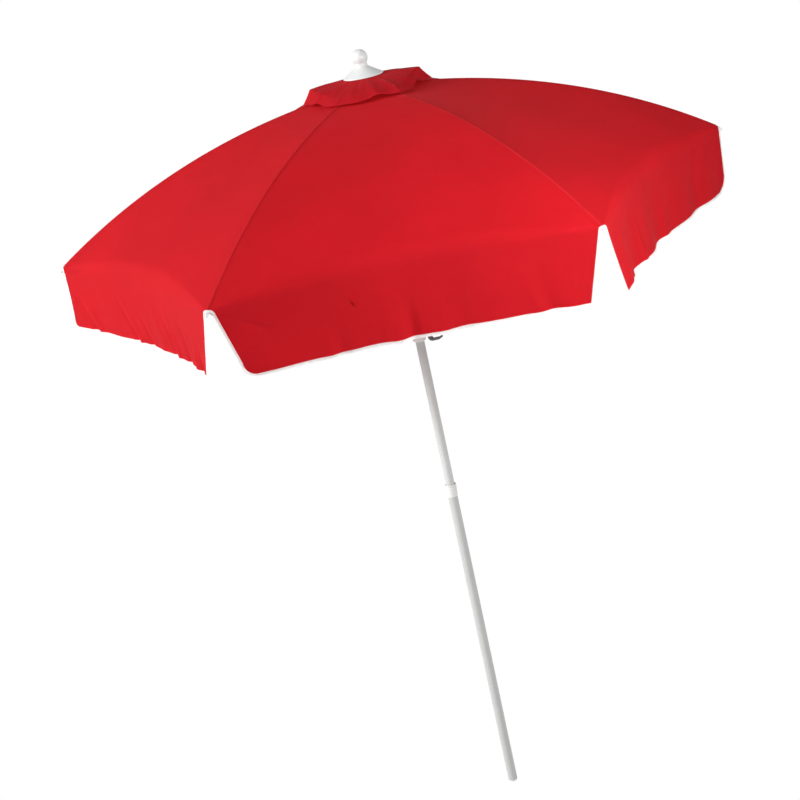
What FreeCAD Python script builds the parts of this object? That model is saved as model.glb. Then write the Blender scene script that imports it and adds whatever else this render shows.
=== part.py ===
import FreeCAD, Part
import Sketcher
import os
from FreeCAD import Placement, Rotation, Vector

# A hand-opened parasol: a two-piece pole, a hub with six wire ribs, six
# stretchers that a sliding runner pushes out, and a six-panel canopy with a
# vent cap, a hanging valance and a finial. +Z runs up the pole and the origin
# is the centre of the pole's bottom end. All sizes are in millimetres.

doc = FreeCAD.newDocument("Parasol")

# ---- Driving dimensions ----------------------------------------------------
SIZES = [
    # pole
    ("foot_dome_height", 6.0),
    ("foot_insert_length", 42.0),
    ("lower_tube_od", 28.0),
    ("tube_wall", 1.0),
    ("lower_tube_top", 1009.0),
    ("telescope_gap", 0.3),
    ("upper_tube_od", 25.4),
    ("telescope_insert", 300.0),
    ("stop_ring_height", 8.0),
    ("bush_flange", 4.0),
    ("bush_insert", 30.0),
    ("press_gap", 0.02),
    ("rest_gap", 0.1),
    ("collar_bottom", 975.0),
    ("collar_lip", 3.0),
    ("collar_bottom_od", 29.8),
    ("collar_top_od", 33.0),
    ("collar_gap", 0.12),
    ("collar_ridge", 0.45),
    ("groove_height", 3.0),
    ("groove_depth", 0.4),
    # canopy frame
    ("tip_radius", 914.0),
    ("tip_plane_height", 1869.0),
    ("canopy_arc_radius", 1800.0),
    ("arc_centre_offset", 93.0),
    ("fabric_thickness", 1.0),
    ("rib_fabric_gap", 2.0),
    ("rib_diameter", 4.6),
    ("rib_end_setback", 9.0),
    ("pin_radius", 1.5),
    ("pin_gap", 0.05),
    ("hub_pivot_radius", 30.0),
    ("hub_radius", 38.0),
    ("hub_stem_radius", 19.0),
    ("hub_stem_length", 34.0),
    ("hub_flange_below", 10.0),
    ("hub_cover_above", 10.0),
    ("hub_slot_width", 5.4),
    ("eye_radius", 4.0),
    ("bracket_radius_position", 402.0),
    ("bracket_drop", 9.0),
    ("bracket_length", 24.0),
    ("bracket_width", 11.0),
    ("bracket_top", 2.9),
    ("bracket_bottom", 14.0),
    ("bracket_slot", 4.4),
    ("blade_thickness", 4.0),
    ("blade_length", 17.0),
    ("blade_height", 7.0),
    ("stretcher_diameter", 6.0),
    ("tip_cap_radius", 3.9),
    ("tip_cap_cover", 26.0),
    ("tip_cap_reach", 13.0),
    # runner
    ("runner_pivot_height", 1530.0),
    ("runner_pivot_radius", 30.0),
    ("runner_flange_radius", 38.0),
    ("runner_flange_above", 5.0),
    ("runner_flange_below", 9.0),
    ("runner_body_radius", 19.0),
    ("runner_body_length", 78.0),
    ("runner_gap", 0.3),
    ("runner_slot_width", 7.2),
    ("runner_notch_gap", 0.1),
    ("runner_pin_length", 14.0),
    ("lever_azimuth", -30.0),
    ("lever_pivot_radius", 27.0),
    ("lever_pivot_below", 20.0),
    ("lever_width", 9.0),
    ("lever_reach", 74.0),
    ("lever_depth", 74.0),
    ("lever_thickness", 5.0),
    ("lever_ear_gap", 0.4),
    # canopy cloth
    ("seam_gap", 0.3),
    ("vent_opening_radius", 105.0),
    ("valance_drop", 157.0),
    ("valance_slit_half_top", 7.0),
    ("valance_slit_half_bottom", 66.0),
    ("binding_width", 9.0),
    ("binding_thickness", 0.6),
    ("cap_rim_radius", 176.0),
    ("cap_shoulder_radius", 153.0),
    ("cap_rim_height", 2163.0),
    ("cap_shoulder_height", 2199.0),
    # finial
    ("finial_base_height", 2204.0),
    ("finial_base_radius", 54.0),
    ("finial_neck_radius", 17.0),
    ("finial_neck_height", 2232.5),
    ("finial_ball_radius", 21.5),
    ("finial_ball_height", 2254.0),
    ("stud_radius", 4.0),
    ("stud_gap", 0.15),
    ("spacer_radius", 24.0),
]
sheet = doc.addObject("Spreadsheet::Sheet", "Sizes")
for row, (alias, value) in enumerate(SIZES, start=1):
    sheet.set("A%d" % row, alias)
    sheet.set("B%d" % row, str(value))
    sheet.setAlias("B%d" % row, alias)
doc.recompute()


def val(text):
    """The value of a formula over the sheet, for a first guess of a sketch."""
    probe = doc.getObject("Probe") or doc.addObject("App::FeaturePython", "Probe")
    if not hasattr(probe, "Value"):
        probe.addProperty("App::PropertyFloat", "Value")
    probe.setExpression("Value", f(text))
    doc.recompute([probe])
    return probe.Value


ALIASES = sorted((a for a, _ in SIZES), key=len, reverse=True)


def f(text):
    """Puts the sheet's name before each size that a formula uses."""
    out, word = "", ""
    for c in text + " ":
        if c.isalnum() or c == "_":
            word += c
        else:
            out += ("Sizes." + word) if word in ALIASES else word
            out += c
            word = ""
    return out.strip()


def bind(obj, **formulas):
    for prop, text in formulas.items():
        obj.setExpression(prop.replace("__", "."), f(text))
    return obj


# Formulas that several pieces share, each written once.
SECTORS = 6
ARC_Z = "(tip_plane_height - sqrt(canopy_arc_radius^2 - (tip_radius + arc_centre_offset)^2))"
RIB_R = "(canopy_arc_radius - fabric_thickness/2 - rib_fabric_gap - rib_diameter/2)"
HUB_ANG = "asin((hub_pivot_radius + arc_centre_offset)/%s)" % RIB_R
HUB_Z = "(%s + sqrt(%s^2 - (hub_pivot_radius + arc_centre_offset)^2))" % (ARC_Z, RIB_R)
RIB_END_R = "(tip_radius - rib_end_setback)"
END_ANG = "asin((%s + arc_centre_offset)/%s)" % (RIB_END_R, RIB_R)
END_Z = "(%s + sqrt(%s^2 - (%s + arc_centre_offset)^2))" % (ARC_Z, RIB_R, RIB_END_R)
BR_ANG = "asin((bracket_radius_position + arc_centre_offset)/%s)" % RIB_R
BR_X = "bracket_radius_position"
BR_Z = "(%s + sqrt(%s^2 - (bracket_radius_position + arc_centre_offset)^2))" % (ARC_Z, RIB_R)
PIV_X = "(%s - bracket_drop*sin(%s))" % (BR_X, BR_ANG)
PIV_Z = "(%s - bracket_drop*cos(%s))" % (BR_Z, BR_ANG)
RUN_Z = "runner_pivot_height"
RUN_R = "runner_pivot_radius"
STR_L = "sqrt((%s - %s)^2 + (%s - %s)^2)" % (PIV_X, RUN_R, PIV_Z, RUN_Z)
STR_ANG = "atan((%s - %s)/(%s - %s))" % (PIV_Z, RUN_Z, PIV_X, RUN_R)
# The lower tube always has room for the upper one, the collar for the lower
# tube, and each hub slot for its rib.
LOWER_OD = "max(lower_tube_od; upper_tube_od + 2*telescope_gap + 2*tube_wall)"
LOWER_ID = "(%s - 2*tube_wall)" % LOWER_OD
C_IN = "(%s/2 + collar_gap)" % LOWER_OD
COLLAR_BASE = "max(collar_bottom_od/2; %s + 0.6)" % C_IN
HUB_SLOT = "max(hub_slot_width; rib_diameter + 0.8)"
UPPER_BOTTOM = "(lower_tube_top - telescope_insert)"
HUB_TOP = "(%s + hub_cover_above)" % HUB_Z
HUB_UNDER = "(%s - hub_flange_below)" % HUB_Z
STEM_UNDER = "(%s - hub_stem_length)" % HUB_Z
UPPER_TOP = "(%s - 6)" % HUB_Z
COLLAR_TOP = "(lower_tube_top + collar_lip)"
HOLE_R = "(pin_radius + pin_gap)"

pieces = []


def keep(obj, label):
    obj.Label = label
    pieces.append(obj)
    return obj


# ---- Small builders --------------------------------------------------------
def cylinder(name, radius, height, x="0", y="0", z="0", rot=None):
    c = doc.addObject("Part::Cylinder", name)
    if rot is not None:
        c.Placement = Placement(Vector(0, 0, 0), rot)
    bind(c, Radius=radius, Height=height)
    bind(c, Placement__Base__x=x, Placement__Base__y=y, Placement__Base__z=z)
    return c


def cross_pin(name, radius, length, x, z):
    """A pin along Y, centred on the plane y = 0."""
    return cylinder(name, radius, length, x, "(%s)/2" % length, z, Rotation(Vector(1, 0, 0), 90))


def box(name, lx, ly, lz, x="0", y="0", z="0"):
    b = doc.addObject("Part::Box", name)
    bind(b, Length=lx, Width=ly, Height=lz)
    bind(b, Placement__Base__x=x, Placement__Base__y=y, Placement__Base__z=z)
    return b


def fuse(name, *shapes):
    o = doc.addObject("Part::MultiFuse", name)
    o.Shapes = list(shapes)
    return o


def group(name, *shapes):
    """Holds finished shapes as they are, so that they can be turned together."""
    o = doc.addObject("Part::Compound", name)
    o.Links = list(shapes)
    return o


def cut(name, base, *tools):
    o = doc.addObject("Part::Cut", name)
    o.Base = base
    o.Tool = tools[0] if len(tools) == 1 else fuse(name + "_tools", *tools)
    return o


def tilt(obj, x, z, angle):
    """Turns a shape built about the local origin about Y, then carries it to x, z."""
    obj.Placement = Placement(Vector(0, 0, 0), Rotation(Vector(0, 1, 0), 0.001))
    obj.setExpression("Placement.Rotation.Axis.x", "0")
    obj.setExpression("Placement.Rotation.Axis.y", "1")
    obj.setExpression("Placement.Rotation.Axis.z", "0")
    bind(obj, Placement__Rotation__Angle=angle)
    bind(obj, Placement__Base__x=x, Placement__Base__z=z)
    return obj


def turn(obj, degrees):
    obj.Placement = Placement(Vector(0, 0, 0), Rotation(Vector(0, 0, 1), degrees))
    return obj


def plane(body, role):
    return next(o for o in body.Origin.OriginFeatures if o.Role == role)


def polygon(sketch, points):
    """A closed polygon whose corners are held by formulas, one pair each."""
    n = len(points)
    xy = [(val(a), val(b)) for a, b in points]
    for i in range(n):
        a, b = xy[i], xy[(i + 1) % n]
        sketch.addGeometry(Part.LineSegment(Vector(a[0], a[1], 0), Vector(b[0], b[1], 0)), False)
    for i in range(n):
        sketch.addConstraint(Sketcher.Constraint("Coincident", i, 2, (i + 1) % n, 1))
    for i, (px, py) in enumerate(points):
        for kind, text, value in (("DistanceX", px, xy[i][0]), ("DistanceY", py, xy[i][1])):
            k = sketch.addConstraint(Sketcher.Constraint(kind, -1, 1, i, 1, value))
            sketch.setExpression("Constraints[%d]" % k, f(text))
    return sketch


def body_sketch(body, role, name, points):
    s = body.newObject("Sketcher::SketchObject", name)
    s.AttachmentSupport = (plane(body, role), [""])
    s.MapMode = "FlatFace"
    polygon(s, points)
    doc.recompute()
    return s


def revolve(body, name, points):
    s = body_sketch(body, "XZ_Plane", name + "_profile", points)
    r = body.newObject("PartDesign::Revolution", name)
    r.Profile = s
    r.ReferenceAxis = (s, ["V_Axis"])
    r.Angle = 360.0
    doc.recompute()
    return r


def polar(body, feature, name, count=SECTORS):
    p = body.newObject("PartDesign::PolarPattern", name)
    p.Originals = [feature]
    p.Axis = (plane(body, "Z_Axis"), [""])
    p.Angle = 360.0
    p.Occurrences = count
    body.Tip = p
    doc.recompute()
    return p


# ---- Pole ------------------------------------------------------------------
# Foot plug: a rounded plastic end pressed into the lower tube.
foot = doc.addObject("PartDesign::Body", "FootPlug")
revolve(foot, "FootTurn", [
    ("0", "0"),
    (LOWER_OD + "/2 - 5", "0"),
    (LOWER_OD + "/2 - 1.6", "foot_dome_height/4"),
    (LOWER_OD + "/2", "foot_dome_height*0.7"),
    (LOWER_OD + "/2", "foot_dome_height"),
    ("%s/2 - press_gap" % LOWER_ID, "foot_dome_height"),
    ("%s/2 - press_gap" % LOWER_ID, "foot_dome_height + foot_insert_length"),
    ("0", "foot_dome_height + foot_insert_length"),
])
keep(foot, "foot_plug")

# Lower tube, from the plug's shoulder to just under the collar's lip, with a
# shallow groove rolled in just above the collar's lower edge.
groove = cut(
    "Groove",
    cylinder("GrooveOuter", LOWER_OD + "/2 + 1", "groove_height", z="collar_bottom"),
    cylinder("GrooveInner", LOWER_OD + "/2 - groove_depth", "groove_height + 2", z="collar_bottom - 1"),
)
lower = cut(
    "LowerTube",
    cylinder("LowerOuter", LOWER_OD + "/2", "lower_tube_top - foot_dome_height", z="foot_dome_height"),
    cylinder("LowerInner", "%s/2" % LOWER_ID, "lower_tube_top", z="0"),
    groove,
)
keep(lower, "lower_tube")

# Stop ring: pressed inside the lower tube, it carries the upper tube's bush.
ring_top = "(%s - bush_flange - rest_gap)" % UPPER_BOTTOM
ring = cut(
    "StopRing",
    cylinder("RingOuter", "%s/2 - press_gap" % LOWER_ID, "stop_ring_height", z="%s - stop_ring_height" % ring_top),
    cylinder("RingInner", "%s/2 - 3" % LOWER_ID, "stop_ring_height*3", z="%s - stop_ring_height*2" % ring_top),
)
keep(ring, "stop_ring")

# Twist collar over the joint of the two tubes, wider towards its lip and
# ringed by fine ridges.
collar = doc.addObject("PartDesign::Body", "Collar")
C_LIP = "upper_tube_od/2 + telescope_gap"


def collar_r(share):
    return "%s + (collar_top_od - collar_bottom_od)/2*%s" % (COLLAR_BASE, share)


def collar_z(share):
    return "collar_bottom + (%s - collar_bottom)*%s" % (COLLAR_TOP, share)


outline = [(C_IN, "collar_bottom"), (collar_r("0"), "collar_bottom")]
for share in (0.22, 0.38, 0.54, 0.70):
    outline += [
        (collar_r(share), collar_z(share)),
        (collar_r(share) + " + collar_ridge", collar_z(share + 0.03)),
        (collar_r(share) + " + collar_ridge", collar_z(share + 0.06)),
        (collar_r(share), collar_z(share + 0.09)),
    ]
outline += [
    (collar_r("1") + " - 0.8", collar_z("0.86")),
    (collar_r("1"), collar_z("0.90")),
    (collar_r("1"), collar_z("0.98")),
    (collar_r("1") + " - 0.8", COLLAR_TOP),
    (C_LIP, COLLAR_TOP),
    (C_LIP, "lower_tube_top + rest_gap"),
    (C_IN, "lower_tube_top + rest_gap"),
]
revolve(collar, "CollarTurn", outline)
keep(collar, "collar")

# Upper tube, from inside the lower tube up into the hub.
upper = cut(
    "UpperTube",
    cylinder("UpperOuter", "upper_tube_od/2", "%s - %s" % (UPPER_TOP, UPPER_BOTTOM), z=UPPER_BOTTOM),
    cylinder("UpperInner", "upper_tube_od/2 - tube_wall", "%s" % UPPER_TOP, z="%s - 10" % UPPER_BOTTOM),
)
keep(upper, "upper_tube")

# Bush in the upper tube's lower end.
bush = fuse(
    "Bush",
    cylinder("BushFlange", "%s/2 - telescope_gap/3" % LOWER_ID, "bush_flange", z="%s - bush_flange" % UPPER_BOTTOM),
    cylinder("BushPlug", "upper_tube_od/2 - tube_wall - press_gap", "bush_insert + 1", z="%s - 1" % UPPER_BOTTOM),
)
keep(bush, "upper_tube_bush")

# ---- Hub -------------------------------------------------------------------
# Turned blank with six radial slots that are open outwards and downwards, and
# a cross bore through each slot's cheeks.
hub = doc.addObject("PartDesign::Body", "Hub")
revolve(hub, "HubTurn", [
    ("upper_tube_od/2 + press_gap", STEM_UNDER),
    ("hub_stem_radius - 1", STEM_UNDER),
    ("hub_stem_radius", STEM_UNDER + " + 1"),
    ("hub_stem_radius", HUB_UNDER),
    ("hub_radius - 1", HUB_UNDER),
    ("hub_radius", HUB_UNDER + " + 1"),
    ("hub_radius", HUB_TOP + " - 2"),
    ("hub_radius - 2", HUB_TOP),
    ("stud_radius + stud_gap", HUB_TOP),
    ("stud_radius + stud_gap", UPPER_TOP + " + rest_gap"),
    ("upper_tube_od/2 + press_gap", UPPER_TOP + " + rest_gap"),
])
blank = hub.Shape.Volume
slot = body_sketch(hub, "XY_Plane", "HubSlotProfile", [
    ("hub_pivot_radius - eye_radius - 0.6", "-%s/2" % HUB_SLOT),
    ("hub_radius + 5", "-%s/2" % HUB_SLOT),
    ("hub_radius + 5", "%s/2" % HUB_SLOT),
    ("hub_pivot_radius - eye_radius - 0.6", "%s/2" % HUB_SLOT),
])
pocket = hub.newObject("PartDesign::Pocket", "HubSlot")
pocket.Profile = slot
pocket.Reversed = True
bind(pocket, Length="%s + eye_radius + 0.8" % HUB_Z)
doc.recompute()
polar(hub, pocket, "HubSlots")
if hub.Shape.Volume > blank * 0.98:
    raise RuntimeError("hub slots cut nothing")
keep(hub, "hub")

holes = []
pins = []
for k in range(SECTORS):
    az = 60.0 * k
    tool = group("HubBore%d" % k, cross_pin("HubBorePin%d" % k, HOLE_R, "17", "hub_pivot_radius", HUB_Z))
    turn(tool, az)
    holes.append(tool)
    pin = group("HubPin%d" % k, cross_pin("HubPinRod%d" % k, "pin_radius", "16", "hub_pivot_radius", HUB_Z))
    turn(pin, az)
    pins.append(pin)
pieces.remove(hub)
hub.Label = "hub_blank"
keep(cut("HubBored", hub, *holes), "hub")
keep(group("HubPins", *pins), "hub_pins")

# ---- Finial, stud, spacer and vent cap -------------------------------------
SPACER_TOP = "(cap_shoulder_height + (finial_base_height - 0.3 - cap_shoulder_height) - fabric_thickness - 0.3)"
keep(
    cut(
        "Spacer",
        cylinder("SpacerOuter", "spacer_radius", "%s - %s - 0.1" % (SPACER_TOP, HUB_TOP), z="%s + 0.1" % HUB_TOP),
        cylinder("SpacerBore", "stud_radius + stud_gap", "200", z="%s - 50" % HUB_TOP),
    ),
    "vent_spacer",
)
keep(
    cylinder(
        "Stud", "stud_radius", "finial_neck_height + 8 - (%s + 1)" % UPPER_TOP, z="%s + 1" % UPPER_TOP
    ),
    "finial_stud",
)

finial_body = doc.addObject("PartDesign::Body", "FinialBody")
revolve(finial_body, "FinialTurn", [
    ("0", "finial_base_height"),
    ("finial_base_radius - 1.2", "finial_base_height"),
    ("finial_base_radius", "finial_base_height + 1.2"),
    ("finial_base_radius", "finial_base_height + 3"),
    ("finial_base_radius*0.72", "finial_base_height + (finial_neck_height - finial_base_height)*0.42"),
    ("finial_base_radius*0.47", "finial_base_height + (finial_neck_height - finial_base_height)*0.74"),
    ("finial_neck_radius", "finial_neck_height"),
    ("finial_neck_radius", "finial_neck_height + 12"),
    ("0", "finial_neck_height + 12"),
])
ball = doc.addObject("Part::Sphere", "FinialBall")
bind(ball, Radius="finial_ball_radius", Placement__Base__z="finial_ball_height")
keep(
    cut(
        "Finial",
        fuse("FinialSolid", finial_body, ball),
        cylinder("FinialBore", "stud_radius + stud_gap", "finial_neck_height + 9 - finial_base_height + 5", z="finial_base_height - 5"),
        cylinder("FinialDimple", "5", "5", z="finial_ball_height + finial_ball_radius - 1.2"),
    ),
    "finial",
)


def hexagon(name, radius, height):
    h = doc.addObject("Part::RegularPolygon", name)
    h.Polygon = SECTORS
    bind(h, Circumradius=radius, Placement__Base__z=height)
    return h


def hex_loft(name, levels):
    loft = doc.addObject("Part::Loft", name)
    loft.Sections = [hexagon("%s_%d" % (name, i), r, z) for i, (r, z) in enumerate(levels)]
    loft.Solid = True
    loft.Ruled = True
    return loft


CAP_TOP = "finial_base_height - 0.3"
keep(
    cut(
        "VentCap",
        hex_loft("CapOuter", [
            ("cap_rim_radius", "cap_rim_height"),
            ("cap_shoulder_radius", "cap_shoulder_height"),
            ("finial_base_radius + 6", CAP_TOP),
        ]),
        hex_loft("CapInner", [
            ("cap_rim_radius - fabric_thickness*1.2 + 0.5", "cap_rim_height - 0.9"),
            ("cap_shoulder_radius - fabric_thickness*1.2", "cap_shoulder_height - fabric_thickness"),
            ("finial_base_radius + 6", CAP_TOP + " - fabric_thickness"),
        ]),
        cylinder("CapBore", "stud_radius + stud_gap + 1", "100", z="finial_base_height - 50"),
    ),
    "vent_cap",
)

# ---- Ribs, tips, brackets and stretchers, one set per sector ---------------
def rib(k):
    """Bent round wire on the arc under the cloth, with an eye at the hub."""
    ring = doc.addObject("Part::Circle", "RibSection%d" % k)
    bind(ring, Radius="rib_diameter/2")
    tilt(ring, "hub_pivot_radius", HUB_Z, "90deg + " + HUB_ANG)
    wire = doc.addObject("Part::Revolution", "RibWire%d" % k)
    wire.Source = ring
    wire.Axis = Vector(0, 1, 0)
    wire.Solid = True
    bind(wire, Base__x="-arc_centre_offset", Base__z=ARC_Z, Angle="%s - %s" % (END_ANG, HUB_ANG))
    eye = cross_pin("RibEye%d" % k, "eye_radius", "rib_diameter + 0.2", "hub_pivot_radius", HUB_Z)
    bore = cross_pin("RibEyeBore%d" % k, HOLE_R, "20", "hub_pivot_radius", HUB_Z)
    return turn(cut("Rib%d" % k, fuse("RibSolid%d" % k, wire, eye), bore), 60.0 * k)


def rib_tip(k):
    """Plastic cap over the rib's end, with a rounded nose."""
    along = Rotation(Vector(0, 1, 0), 90)
    barrel = cylinder("TipBarrel%d" % k, "tip_cap_radius", "tip_cap_cover + tip_cap_reach", "-tip_cap_cover", rot=along)
    nose = doc.addObject("Part::Sphere", "TipNose%d" % k)
    bind(nose, Radius="tip_cap_radius", Placement__Base__x="tip_cap_reach")
    bore = cylinder("TipBore%d" % k, "rib_diameter/2 + 0.15", "tip_cap_cover + 3.3", "-tip_cap_cover - 3", rot=along)
    solid = cut("TipSolid%d" % k, fuse("TipFuse%d" % k, barrel, nose), bore)
    tilt(solid, RIB_END_R, END_Z, END_ANG)
    return turn(group("Tip%d" % k, solid), 60.0 * k)


def rib_bracket(k):
    """Clip round the rib with two cheeks and a pin for the stretcher."""
    block = box("BrBlock%d" % k, "bracket_length", "bracket_width", "bracket_top + bracket_bottom",
                "-bracket_length/2", "-bracket_width/2", "-bracket_bottom")
    groove = cylinder("BrGroove%d" % k, "rib_diameter/2 + 0.12", "bracket_length + 10", "-bracket_length/2 - 5",
                      rot=Rotation(Vector(0, 1, 0), 90))
    slot = box("BrSlot%d" % k, "bracket_length + 10", "bracket_slot", "bracket_bottom",
               "-bracket_length/2 - 5", "-bracket_slot/2", "-bracket_bottom - rib_diameter/2 - 1.2")
    solid = cut("BrSolid%d" % k, block, groove, slot)
    tilt(solid, BR_X, BR_Z, BR_ANG)
    pin = cross_pin("BrPin%d" % k, "pin_radius", "bracket_width + 2", PIV_X, PIV_Z)
    return turn(fuse("Br%d" % k, solid, pin), 60.0 * k)


def stretcher(k):
    """Round rod from the bracket's pin to the runner, with a flat upper end
    and a cross pin at the foot."""
    along = Rotation(Vector(0, 1, 0), -90)
    rod = cylinder("StRod%d" % k, "stretcher_diameter/2", "%s - blade_length" % STR_L, "-blade_length", rot=along)
    blade = box("StBlade%d" % k, "blade_length + 4", "blade_thickness", "blade_height",
                "-blade_length - 4", "-blade_thickness/2", "-blade_height/2")
    solid = fuse("StSolid%d" % k, rod, blade)
    tilt(solid, PIV_X, PIV_Z, "-(%s)" % STR_ANG)
    eye = cross_pin("StEye%d" % k, "blade_height/2 + 0.6", "blade_thickness - 0.2", PIV_X, PIV_Z)
    foot_eye = cross_pin("StFoot%d" % k, "eye_radius", "stretcher_diameter + 0.4", RUN_R, RUN_Z)
    pin = cross_pin("StPin%d" % k, "pin_radius", "runner_pin_length", RUN_R, RUN_Z)
    bore = cross_pin("StBore%d" % k, HOLE_R, "20", PIV_X, PIV_Z)
    return turn(cut("St%d" % k, fuse("StFuse%d" % k, solid, eye, foot_eye, pin), bore), 60.0 * k)


for k in range(SECTORS):
    keep(rib(k), "rib_%d" % (k + 1))
    keep(rib_tip(k), "rib_tip_%d" % (k + 1))
    keep(rib_bracket(k), "rib_bracket_%d" % (k + 1))
    keep(stretcher(k), "stretcher_%d" % (k + 1))

# ---- Runner and its release lever ------------------------------------------
# A sleeve on the upper tube with a slotted flange; the stretchers' pins sit in
# notches that are open outwards and downwards.
RUN_TOP = "(%s + runner_flange_above)" % RUN_Z
RUN_FL = "(%s - runner_flange_below)" % RUN_Z
RUN_LOW = "(%s - runner_body_length)" % RUN_TOP
runner_body = doc.addObject("PartDesign::Body", "RunnerBody")
BORE = "upper_tube_od/2 + runner_gap"
revolve(runner_body, "RunnerTurn", [
    (BORE, RUN_LOW),
    ("runner_body_radius - 1.5", RUN_LOW),
    ("runner_body_radius", RUN_LOW + " + 1.5"),
    ("runner_body_radius", RUN_FL + " - 6"),
    ("runner_body_radius + 4", RUN_FL),
    ("runner_flange_radius - 1", RUN_FL),
    ("runner_flange_radius", RUN_FL + " + 1"),
    ("runner_flange_radius", RUN_TOP + " - 1.5"),
    ("runner_flange_radius - 1.5", RUN_TOP),
    ("runner_body_radius + 1", RUN_TOP),
    ("runner_body_radius - 2", RUN_TOP + " + 7"),
    (BORE, RUN_TOP + " + 7"),
])
run_slot = body_sketch(runner_body, "XY_Plane", "RunnerSlotProfile", [
    ("runner_pivot_radius - eye_radius - 0.5", "-runner_slot_width/2"),
    ("runner_flange_radius + 5", "-runner_slot_width/2"),
    ("runner_flange_radius + 5", "runner_slot_width/2"),
    ("runner_pivot_radius - eye_radius - 0.5", "runner_slot_width/2"),
])
run_pocket = runner_body.newObject("PartDesign::Pocket", "RunnerSlot")
run_pocket.Profile = run_slot
run_pocket.Reversed = True
bind(run_pocket, Length="%s + 20" % RUN_TOP)
doc.recompute()
blank = runner_body.Shape.Volume
polar(runner_body, run_pocket, "RunnerSlots")
if runner_body.Shape.Volume > blank * 0.995:
    raise RuntimeError("runner slots cut nothing")
notches = []
for k in range(SECTORS):
    n = group("RunnerNotch%d" % k, box(
        "NotchBox%d" % k, "20", "runner_pin_length + 0.6", "runner_flange_below + 10 + pin_radius + runner_notch_gap",
        "%s - pin_radius - runner_notch_gap" % RUN_R, "-(runner_pin_length + 0.6)/2",
        "%s - runner_flange_below - 10" % RUN_Z))
    notches.append(turn(n, 60.0 * k))

# Ears for the lever, between two of the slots.
LP_Z = "(%s - lever_pivot_below)" % RUN_Z
LP_R = "lever_pivot_radius"
LEVER_AZ = sheet.lever_azimuth
EAR_W = "3"
ears = []
for side, start in (("A", "lever_width/2 + lever_ear_gap"), ("B", "-lever_width/2 - lever_ear_gap - %s" % EAR_W)):
    plate = box("EarPlate" + side, "%s + 4.5 - 17" % LP_R, EAR_W, "%s + 5 - (%s - 5)" % (RUN_FL, LP_Z), "17", start, "%s - 5" % LP_Z)
    ears.append(plate)
ear_pair = cut("EarPair", fuse("EarFuse", *ears), cross_pin("EarBore", HOLE_R, "30", LP_R, LP_Z),
               cylinder("EarRelief", BORE, "300", z="%s - 100" % RUN_LOW))
ear_turned = turn(group("EarTurned", ear_pair), LEVER_AZ)
keep(fuse("Runner", cut("RunnerCut", runner_body, *notches), ear_turned), "runner")

# Lever: an upper tail, a pivot eye, a stem beside the sleeve and a flared,
# rounded thumb end.
LEV = doc.addObject("PartDesign::Body", "LeverBody")
T = "lever_thickness"
lever_sketch = body_sketch(LEV, "XZ_Plane", "LeverProfile", [
    ("%s - 3.5" % LP_R, "%s + 6" % LP_Z),
    ("%s - 4" % LP_R, "%s - 3" % LP_Z),
    ("%s - 1.5" % LP_R, "%s - 26" % LP_Z),
    ("%s + 5" % LP_R, "%s - lever_depth + 4" % RUN_Z),
    ("%s + 10" % LP_R, "%s - lever_depth" % RUN_Z),
    ("%s + 17" % LP_R, "%s - lever_depth - 1" % RUN_Z),
    ("lever_reach - 8", "%s - lever_depth + 3" % RUN_Z),
    ("lever_reach", "%s - lever_depth + 8" % RUN_Z),
    ("lever_reach - 2", "%s - lever_depth + 8 + %s" % (RUN_Z, T)),
    ("lever_reach - 10", "%s - lever_depth + 4 + %s" % (RUN_Z, T)),
    ("%s + 17" % LP_R, "%s - lever_depth + 0.5 + %s" % (RUN_Z, T)),
    ("%s + 10" % LP_R, "%s - lever_depth + 8 + %s" % (RUN_Z, T)),
    ("%s + 4" % LP_R, "%s - 25" % LP_Z),
    ("%s + 4" % LP_R, "%s + 3" % LP_Z),
    ("%s + 1" % LP_R, "%s + 6" % LP_Z),
])
lever_pad = LEV.newObject("PartDesign::Pad", "LeverPad")
lever_pad.Profile = lever_sketch
lever_pad.Midplane = True
bind(lever_pad, Length="lever_width")
doc.recompute()
lever = cut("Lever", LEV, cross_pin("LeverBore", HOLE_R, "30", LP_R, LP_Z))
keep(turn(lever, LEVER_AZ), "release_lever")
keep(turn(group("LeverPin", cross_pin("LeverPinRod", "pin_radius", "lever_width + 2*lever_ear_gap + 6 + 2", LP_R, LP_Z)), LEVER_AZ), "lever_pin")

# ---- Canopy cloth ----------------------------------------------------------
# Each panel is a band between two rib planes with straight level chords. Its
# valance is a flat trapezium of cloth that hangs from the band's edge.
HALF = 180.0 / SECTORS
TIP_U = "(tip_radius*cos(%gdeg))" % HALF
TOP_HALF = "(tip_radius*sin(%gdeg) - valance_slit_half_top)" % HALF
LOW_HALF = "(tip_radius*sin(%gdeg) - valance_slit_half_bottom)" % HALF


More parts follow.
